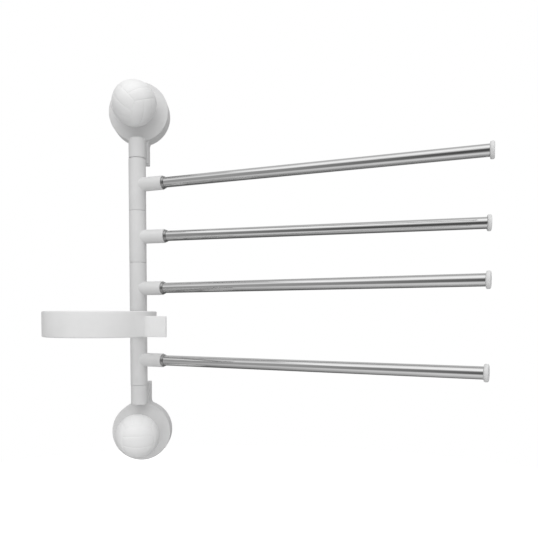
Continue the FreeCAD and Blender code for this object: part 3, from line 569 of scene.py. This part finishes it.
for name, half in (("arm_1", HALF_HUB), ("arm_2", HALF_HUB), ("arm_3", HALF_HUB),
                   ("holder_ring", HALF_RING_HUB), ("arm_4", HALF_HUB)):
    hub_feet.append(joints[name + "_swing"]["pos_m"][2] - half)
skin("stack_washers",
     [turned(WASHER_PROFILE, (0, -POST_OFFSET, foot - WASHER_HEIGHT), UPWARDS, 72)
      for foot in hub_feet],
     "wall_frame", ["hub_washers"], nylon)
PLUG_PROFILE = rounded(
    [(SLEEVE_TOP - PLUG_DEPTH, 0), (SLEEVE_TOP - PLUG_DEPTH, PLUG_RADIUS),
     (SLEEVE_TOP, PLUG_RADIUS), (SLEEVE_TOP, 0)],
    [0, 0.0003, 0.0006, 0])
for end in ("upper", "lower"):
    plug_sheet = turned(PLUG_PROFILE, (0, -POST_OFFSET, 0), UPWARDS, 72)
    skin(end + "_button_plug", sheets_at(end, plug_sheet), "wall_frame",
         [end + "_shaft_plug"], white_abs)

# ---------------------------------------------------------------- four swing arms
# Each arm is a white ABS hub with a side socket, a chrome tube pushed into the socket with a
# flared chrome ferrule over the joint, and a white cap plugged into the tube's far end.
HUB_RADIUS = 0.010
SOCKET_RADIUS, SOCKET_BORE = 0.008, 0.00605
SOCKET_FLOOR, SOCKET_REACH = 0.013, 0.035
SOCKET_ROOT = 0.006
SOCKET_FILLET = 0.0007
FERRULE_END = SOCKET_REACH + 0.003
ARM_REACH = 0.389
CAP_FLANGE, CAP_RADIUS = 0.0042, 0.0083
CAP_PLUG, CAP_PLUG_RADIUS = 0.0162, 0.00505
ROD_RADIUS, ROD_BORE = 0.006, 0.0051
ROD_END = ARM_REACH - CAP_FLANGE
chrome = worked_metal("bright chrome", [0.60] * 3, [0.66] * 3, (0.03, 0.08), (2600, 25, 1),
                      cloud_rate=14.0, depth=0.0000015)
# The ferrule's chrome is darker than the tube's: painted shade for the dark the flared ferrule
# mirrors at the joint.
shaded_ferrule_chrome = worked_metal("ferrule chrome with painted shade", [0.34] * 3, [0.40] * 3, (0.30, 0.40),
                              (900, 25, 1), cloud_rate=30.0)
FERRULE_PROFILE = rounded(
    [(SOCKET_REACH, SOCKET_BORE), (SOCKET_REACH, 0.0073), (SOCKET_REACH + 0.0009, 0.0072),
     (FERRULE_END, 0.0065), (FERRULE_END, SOCKET_BORE)],
    [0, 0.0003, 0.0008, 0.0002, 0])
ROD_PROFILE = rounded(
    [(SOCKET_FLOOR, ROD_BORE), (SOCKET_FLOOR, ROD_RADIUS), (ROD_END, ROD_RADIUS),
     (ROD_END, ROD_BORE)],
    [0, 0.0002, 0.0002, 0])
CAP_PROFILE = rounded(
    [(ARM_REACH, 0), (ARM_REACH, CAP_RADIUS), (ROD_END, CAP_RADIUS),
     (ROD_END, CAP_PLUG_RADIUS), (ARM_REACH - CAP_PLUG, CAP_PLUG_RADIUS),
     (ARM_REACH - CAP_PLUG, 0)],
    [0, 0.0014, 0.0014, 0, 0.0005, 0])
ARM_PARTS = (("ferrule_flare", FERRULE_PROFILE, "ferrule", shaded_ferrule_chrome, "chrome"),
             ("drawn_tube", ROD_PROFILE, "rod", chrome, "chrome"),
             ("cap_button", CAP_PROFILE, "end_cap", white_abs, "white_abs"))


def barrel_profile(half, top_lip, bottom_lip):
    """A hub's wall as (height, radius): a bored barrel with a thin lip over each washer."""
    return rounded(
        [(-half, SHAFT_BORE), (-half, LIP_BORE), (-half - bottom_lip, LIP_BORE),
         (-half - bottom_lip, HUB_RADIUS), (half + top_lip, HUB_RADIUS),
         (half + top_lip, LIP_BORE), (half, LIP_BORE), (half, SHAFT_BORE)],
        [0.0002, 0, 0.0001, 0.0004, 0.0004, 0.0001, 0, 0.0002])


def socket_sheet(columns=96, steps=7):
    """The socket's skin: (distance along the arm, angle round the arm) from barrel to bore.

    It starts where a tube of the socket's radius plus the fillet meets the barrel, follows a
    curve that bends at the plain meeting line, then runs straight to the mouth's profile.
    """
    angle = np.linspace(0, 2 * np.pi, columns + 1)
    wide = SOCKET_RADIUS + SOCKET_FILLET

    def barrel_at(radius):
        return np.sqrt(HUB_RADIUS ** 2 - (radius * np.cos(angle)) ** 2)

    foot = np.stack([barrel_at(wide), wide + 0 * angle], axis=-1)
    bend = np.stack([barrel_at(SOCKET_RADIUS), SOCKET_RADIUS + 0 * angle], axis=-1)
    leave = bend + [SOCKET_FILLET, 0]
    share = np.linspace(0, 1, steps)[:, None, None]
    curve = (1 - share) ** 2 * foot + 2 * share * (1 - share) * bend + share ** 2 * leave
    # The mouth's outline needs a first corner to run from, which is then left out.
    before_floor = SOCKET_FLOOR - 0.001
    mouth = rounded([(before_floor, SOCKET_RADIUS), (SOCKET_REACH, SOCKET_RADIUS),
                     (SOCKET_REACH, SOCKET_BORE), (SOCKET_FLOOR, SOCKET_BORE),
                     (SOCKET_FLOOR, 0)],
                    [0, 0.0008, 0.0002, 0, 0], steps)
    mouth = mouth[mouth[:, 0] > (before_floor + SOCKET_FLOOR) / 2]
    rings = np.broadcast_to(mouth[:, None], (len(mouth), columns + 1, 2))
    root = np.broadcast_to([SOCKET_ROOT, 0.0], (1, columns + 1, 2))
    rings = np.concatenate([root, curve, rings], axis=0)
    along, reach = rings[..., 0], rings[..., 1]
    points = np.stack([along, reach * np.cos(angle), reach * np.sin(angle)], axis=-1)
    return points, np.stack([along, SOCKET_RADIUS * angle + 0 * along], axis=-1)


def swung(points, pivot, out):
    """Points built along +X from the post axis, swung out from the wall by an angle."""
    ahead = np.array([math.cos(out), -math.sin(out), 0])
    side = np.array([math.sin(out), math.cos(out), 0])
    return (pivot + points[..., :1] * ahead + points[..., 1:2] * side
            + points[..., 2:] * np.array(UPWARDS))


for number in range(1, 5):
    arm = "arm_%d" % number
    swing = joints[arm + "_swing"]
    pivot = np.array(swing["pos_m"])
    out = math.radians(swing["range_deg"][1])
    ahead = (math.cos(out), -math.sin(out), 0)
    points, flat = socket_sheet()
    barrel = barrel_profile(HALF_HUB, FIRST_LIP if number == 1 else CLOSE_LIP, CLOSE_LIP)
    skin(arm + "_moulded_hub", [turned(barrel, pivot, UPWARDS), (swung(points, pivot, out), flat)],
         arm, [arm + "_hub"], white_abs, sharp=40)
    for part, profile, stands_for, material, slot in ARM_PARTS:
        skin("%s_%s" % (arm, part), [turned(profile, pivot, ahead)], arm,
             ["%s_%s" % (arm, stands_for)], material)

# -------------------------------------------------------------------- holder ring
# White ABS, one moulding: a hub on the post, a neck, a round band with softened edges, and a
# flat finger tab that stands out from the band's side on a fillet.
RING_RADIUS, RING_WALL = 0.060, 0.003
RING_DISTANCE = 0.072
RING_REST = math.radians(114.5)
BAND_LIFT, HALF_BAND = 0.0011, 0.01345
BAND_LOW, BAND_HIGH = BAND_LIFT - HALF_BAND, BAND_LIFT + HALF_BAND
NECK_START, NECK_END = 0.0055, 0.0135
HALF_NECK = 0.0075
NECK_HIGH = 0.009
HALF_TAB = 0.0015
TAB_FILLET = 0.005
TAB_END = RING_RADIUS + 0.0227
TAB_LOW, TAB_HIGH = -0.01225, 0.00945
ring_abs = moulded("ring white moulded abs", [0.79] * 3, [0.83] * 3, (0.28, 0.38))
BAND_PROFILE = rounded(
    [(BAND_LOW, RING_RADIUS - RING_WALL), (BAND_LOW, RING_RADIUS),
     (BAND_HIGH, RING_RADIUS), (BAND_HIGH, RING_RADIUS - RING_WALL)],
    [0.0011, 0.0013, 0.0015, 0.0011])
NECK_OUTLINE = rounded(
    [(NECK_START, -HALF_NECK), (NECK_END, -HALF_NECK), (NECK_END, HALF_NECK),
     (NECK_START, HALF_NECK)],
    [0.0005] * 4)
# The tab's fillet into the band: a quarter circle from the band's side to the tab's face.
root = math.sqrt(RING_RADIUS ** 2 - (HALF_TAB + TAB_FILLET) ** 2)
fillet_turn = np.linspace(-math.pi / 2, -math.pi, 10)
fillet = np.stack([HALF_TAB + TAB_FILLET * (1 + np.cos(fillet_turn)),
                   root + TAB_FILLET * (1 + np.sin(fillet_turn))], axis=1)
tip = rounded([(HALF_TAB, TAB_END - 0.004), (HALF_TAB, TAB_END), (-HALF_TAB, TAB_END),
               (-HALF_TAB, TAB_END - 0.004)], [0, 0.0012, 0.0012, 0])
inside = np.array([(HALF_TAB + TAB_FILLET, root - 0.001)])
tab = np.vstack([inside, fillet, tip, (fillet * [-1, 1])[::-1], inside * [-1, 1]])
TAB_OUTLINE = tab + [RING_DISTANCE, 0]
ring_pivot = np.array(joints["holder_ring_swing"]["pos_m"])
ring_centre = swung(np.array([RING_DISTANCE, 0, 0]), ring_pivot, RING_REST)


def on_ring(points):
    """Points built along +X from the post axis, swung to where the ring rests."""
    return swung(points, ring_pivot, RING_REST)


ring_sheets = [
    turned(barrel_profile(HALF_RING_HUB, CLOSE_LIP, CLOSE_LIP), ring_pivot, UPWARDS),
    turned(BAND_PROFILE, ring_centre, UPWARDS, 240),
    slab(NECK_OUTLINE, -NECK_HIGH, NECK_HIGH, 0.0008, on_ring),
    slab(TAB_OUTLINE, TAB_LOW, TAB_HIGH, 0.0006, on_ring),
]
skin("holder_ring_moulding", ring_sheets, "holder_ring", ["ring_holder"],
     ring_abs, sharp=42)

# ----------------------------------------------------------- floor, light, camera
# A plain pale studio: a round matt floor well below the bar, an even soft light from the
# front and above with one large lamp, and a room of light and dark bands for the chrome.
# In the chrome the floor shows painted shade and a painted pool of light.
FLOOR_HEIGHT = -0.70
FLOOR_RADIUS = 1.35
FLOOR_MIDDLE = 0.12
FLOOR_SIDES = 96
FLOOR_GLOW = 0.78
# Mirror rays see the floor's colour much darker than it is: painted shade in the floor's
# reflection.
FLOOR_TONE, FLOOR_PAINTED_SHADE_IN_CHROME = 0.70, 0.15
# A painted pool of light on the floor: a glow that only mirror and glass rays see, a stretched
# circle that fades outwards.
PAINTED_POOL_STRETCH = (0.4, 1.5, 1.0)
PAINTED_POOL_MIDDLE = (0.12, -0.825, FLOOR_HEIGHT)
PAINTED_POOL_REACH = 1.075
PAINTED_POOL_GLOW = 0.86
rim = np.linspace(0, 2 * np.pi, FLOOR_SIDES, endpoint=False)
floor_rim = np.stack([FLOOR_MIDDLE + FLOOR_RADIUS * np.cos(rim), FLOOR_RADIUS * np.sin(rim),
                      FLOOR_HEIGHT + 0 * rim], axis=1)
floor_mesh = bpy.data.meshes.new("floor")
floor_mesh.from_pydata(floor_rim, [], [list(range(FLOOR_SIDES))])
floor = bpy.data.objects.new("floor", floor_mesh)
bpy.context.scene.collection.objects.link(floor)


def seen_directly(tree, rays):
    """One where a ray comes from the camera, a mirror or glass, and zero for other rays."""
    first = add_node(tree, "ShaderNodeMath", (-700, 300), operation="MAXIMUM")
    second = add_node(tree, "ShaderNodeMath", (-500, 300), operation="MAXIMUM")
    wire(tree, (rays, "Is Camera Ray", first, 0), (rays, "Is Glossy Ray", first, 1),
         (first, 0, second, 0), (rays, "Is Transmission Ray", second, 1))
    return second


floor_paint = bpy.data.materials.new("matt floor")
floor_paint.use_nodes = True
tree = floor_paint.node_tree
matt = tree.nodes["Principled BSDF"]
matt.inputs["Roughness"].default_value = 1.0
rays = add_node(tree, "ShaderNodeLightPath", (-900, 600))
# The floor's colour drops for mirror rays: painted shade in its reflection.
tone = add_node(tree, "ShaderNodeMapRange", (-400, 100), To_Min=FLOOR_TONE,
                To_Max=FLOOR_PAINTED_SHADE_IN_CHROME)
# The painted pool of light: a glow by place on the floor, given to mirror and glass rays only.
place = add_node(tree, "ShaderNodeTexCoord", (-1300, -200))
stretched = add_node(tree, "ShaderNodeVectorMath", (-1200, -200), operation="MULTIPLY")
stretched.inputs[1].default_value = PAINTED_POOL_STRETCH
from_painted_pool = add_node(tree, "ShaderNodeVectorMath", (-1100, -200), operation="DISTANCE")
from_painted_pool.inputs[1].default_value = PAINTED_POOL_MIDDLE
fade = add_node(tree, "ShaderNodeMapRange", (-900, -200), From_Min=0.0, From_Max=PAINTED_POOL_REACH,
                To_Min=PAINTED_POOL_GLOW, To_Max=0.0)
level = add_node(tree, "ShaderNodeMapRange", (-650, -200), To_Max=FLOOR_GLOW)
share = add_node(tree, "ShaderNodeMath", (-250, 300), operation="MULTIPLY")
glow = add_node(tree, "ShaderNodeEmission", (0, -500))
both = add_node(tree, "ShaderNodeAddShader", (350, 0))
wire(tree, (rays, "Is Glossy Ray", tone, "Value"), (tone, "Result", matt, "Base Color"),
     (place, "Object", stretched, 0), (stretched, 0, from_painted_pool, 0),
     (from_painted_pool, "Value", fade, "Value"), (fade, "Result", level, "To Min"),
     (rays, "Is Camera Ray", level, "Value"), (level, "Result", share, 1),
     (seen_directly(tree, rays), 0, share, 0), (share, 0, glow, "Strength"),
     (matt, 0, both, 0), (glow, 0, both, 1),
     (both, 0, tree.nodes["Material Output"], "Surface"))
floor_mesh.materials.append(floor_paint)

FRONT_LIGHT, TOP_LIGHT = 1.09, 1.08
# Brightness round the X axis that the rods mirror, in degrees up from straight at the room.
ROOM = [(-180, 0.50), (-140, 0.42), (-112, 0.38), (-88, 0.56), (-62, 0.86), (-44, 0.72),
        (-26, 0.22), (-12, 0.05), (0, 0.05), (12, 0.16), (24, 0.42), (38, 0.66), (52, 1.10),
        (66, 0.94), (80, 0.72), (96, 0.62), (116, 0.72), (150, 0.70), (180, 0.50)]
BRIGHTEST = 1.1
# A paler wall on the left: from where it starts and is full, and its brightness there.
LEFT_WALL = (0.35, 0.80, 0.10, 0.45)
world = bpy.data.worlds.new("studio")
world.use_nodes = True
bpy.context.scene.world = world
tree = world.node_tree
tree.nodes.clear()
direction = add_node(tree, "ShaderNodeTexCoord", (-1500, 0))


def towards(axis, low, high, dim, bright):
    """Brightness that runs from dim to bright with how far a direction leans to the axis."""
    lean = add_node(tree, "ShaderNodeVectorMath", (-1250, 0), operation="DOT_PRODUCT")
    lean.inputs[1].default_value = axis
    level = add_node(tree, "ShaderNodeMapRange", (-1000, 0), From_Min=low, From_Max=high,
                     To_Min=dim, To_Max=bright)
    wire(tree, (direction, "Generated", lean, 0), (lean, "Value", level, "Value"))
    return level


def combined(operation, first, second):
    """Two brightnesses put together by a plain sum, product or maximum."""
    node = add_node(tree, "ShaderNodeMath", (-700, 0), operation=operation)
    wire(tree, (first, 0, node, 0), (second, 0, node, 1))
    return node


from_front = towards(OFF_WALL, 0, 1, 0, FRONT_LIGHT)
soft_light = combined("ADD", combined("MULTIPLY", from_front, from_front),
                      towards(UPWARDS, 0, 1, 0, TOP_LIGHT))
parts = add_node(tree, "ShaderNodeSeparateXYZ", (-1250, -300))
outwards = add_node(tree, "ShaderNodeMath", (-1000, -300), operation="MULTIPLY")
outwards.inputs[1].default_value = -1
turn = add_node(tree, "ShaderNodeMath", (-800, -300), operation="ARCTAN2")
share_of_turn = add_node(tree, "ShaderNodeMapRange", (-600, -300), From_Min=-math.pi,
                         From_Max=math.pi)
room = add_node(tree, "ShaderNodeValToRGB", (-400, -300))
stops = room.color_ramp.elements
for number, (degrees, brightness) in enumerate(ROOM):
    position = (degrees + 180) / 360
    stop = stops[number] if number < 2 else stops.new(position)
    stop.position = position
    stop.color = (*[brightness / BRIGHTEST] * 3, 1)
bright_room = add_node(tree, "ShaderNodeMath", (-200, -300), operation="MULTIPLY")
bright_room.inputs[1].default_value = BRIGHTEST
mirrored = combined("MAXIMUM", bright_room, towards((-1, 0, 0), *LEFT_WALL))
rays = add_node(tree, "ShaderNodeLightPath", (-900, 600))
shown = add_node(tree, "ShaderNodeMapRange", (-450, -300))
ambient = add_node(tree, "ShaderNodeBackground", (-200, 0), Color=(1, 1, 1, 1))
backdrop = add_node(tree, "ShaderNodeBackground", (-200, -200), Color=(1, 1, 1, 1))
mix = add_node(tree, "ShaderNodeMixShader", (50, 0))
world_end = add_node(tree, "ShaderNodeOutputWorld", (250, 0))
wire(tree, (direction, "Generated", parts, 0), (parts, "Y", outwards, 0),
     (parts, "Z", turn, 0), (outwards, 0, turn, 1), (turn, 0, share_of_turn, "Value"),
     (share_of_turn, "Result", room, "Fac"), (room, "Color", bright_room, 0),
     (rays, "Is Camera Ray", shown, "Value"), (mirrored, 0, shown, "To Min"),
     (soft_light, 0, ambient, "Strength"), (shown, "Result", backdrop, "Strength"),
     (seen_directly(tree, rays), 0, mix, 0), (ambient, 0, mix, 1), (backdrop, 0, mix, 2),
     (mix, 0, world_end, "Surface"))

LAMP_PLACE = Vector((-0.10, -1.0, 1.15))
LAMP_AIM = Vector((0.12, -0.06, -0.19))
lamp = bpy.data.lights.new("key lamp", "AREA")
lamp.size = 1.9
lamp.energy = 4.0
lamp_object = bpy.data.objects.new("key lamp", lamp)
lamp_object.location = LAMP_PLACE
lamp_object.rotation_euler = (LAMP_AIM - LAMP_PLACE).to_track_quat("-Z", "Y").to_euler()
bpy.context.scene.collection.objects.link(lamp_object)

# The photograph's size, the middle of its perspective and its focal length, in pixels.
IMAGE_WIDE, IMAGE_HIGH = 538, 541
MIDDLE_X, MIDDLE_Y = 250.8, 345.8
FOCUS = 600.7
SENSOR = 36
YAW, PITCH = math.radians(0.8), math.radians(-2.8)
camera = bpy.data.cameras.new("camera")
camera.sensor_width = SENSOR
camera.lens = SENSOR * FOCUS / IMAGE_HIGH
camera.shift_x = (IMAGE_WIDE / 2 - MIDDLE_X) / IMAGE_HIGH
camera.shift_y = (MIDDLE_Y - IMAGE_HIGH / 2) / IMAGE_HIGH
camera_object = bpy.data.objects.new("camera", camera)
camera_object.location = (0.1232, -0.7483, -0.2427)
look = Vector((math.sin(YAW) * math.cos(PITCH), math.cos(YAW) * math.cos(PITCH),
               math.sin(PITCH)))
camera_object.rotation_euler = look.to_track_quat("-Z", "Y").to_euler()
bpy.context.scene.collection.objects.link(camera_object)
bpy.context.scene.camera = camera_object
bpy.context.scene.view_settings.view_transform = "Standard"

bpy.context.view_layer.update()
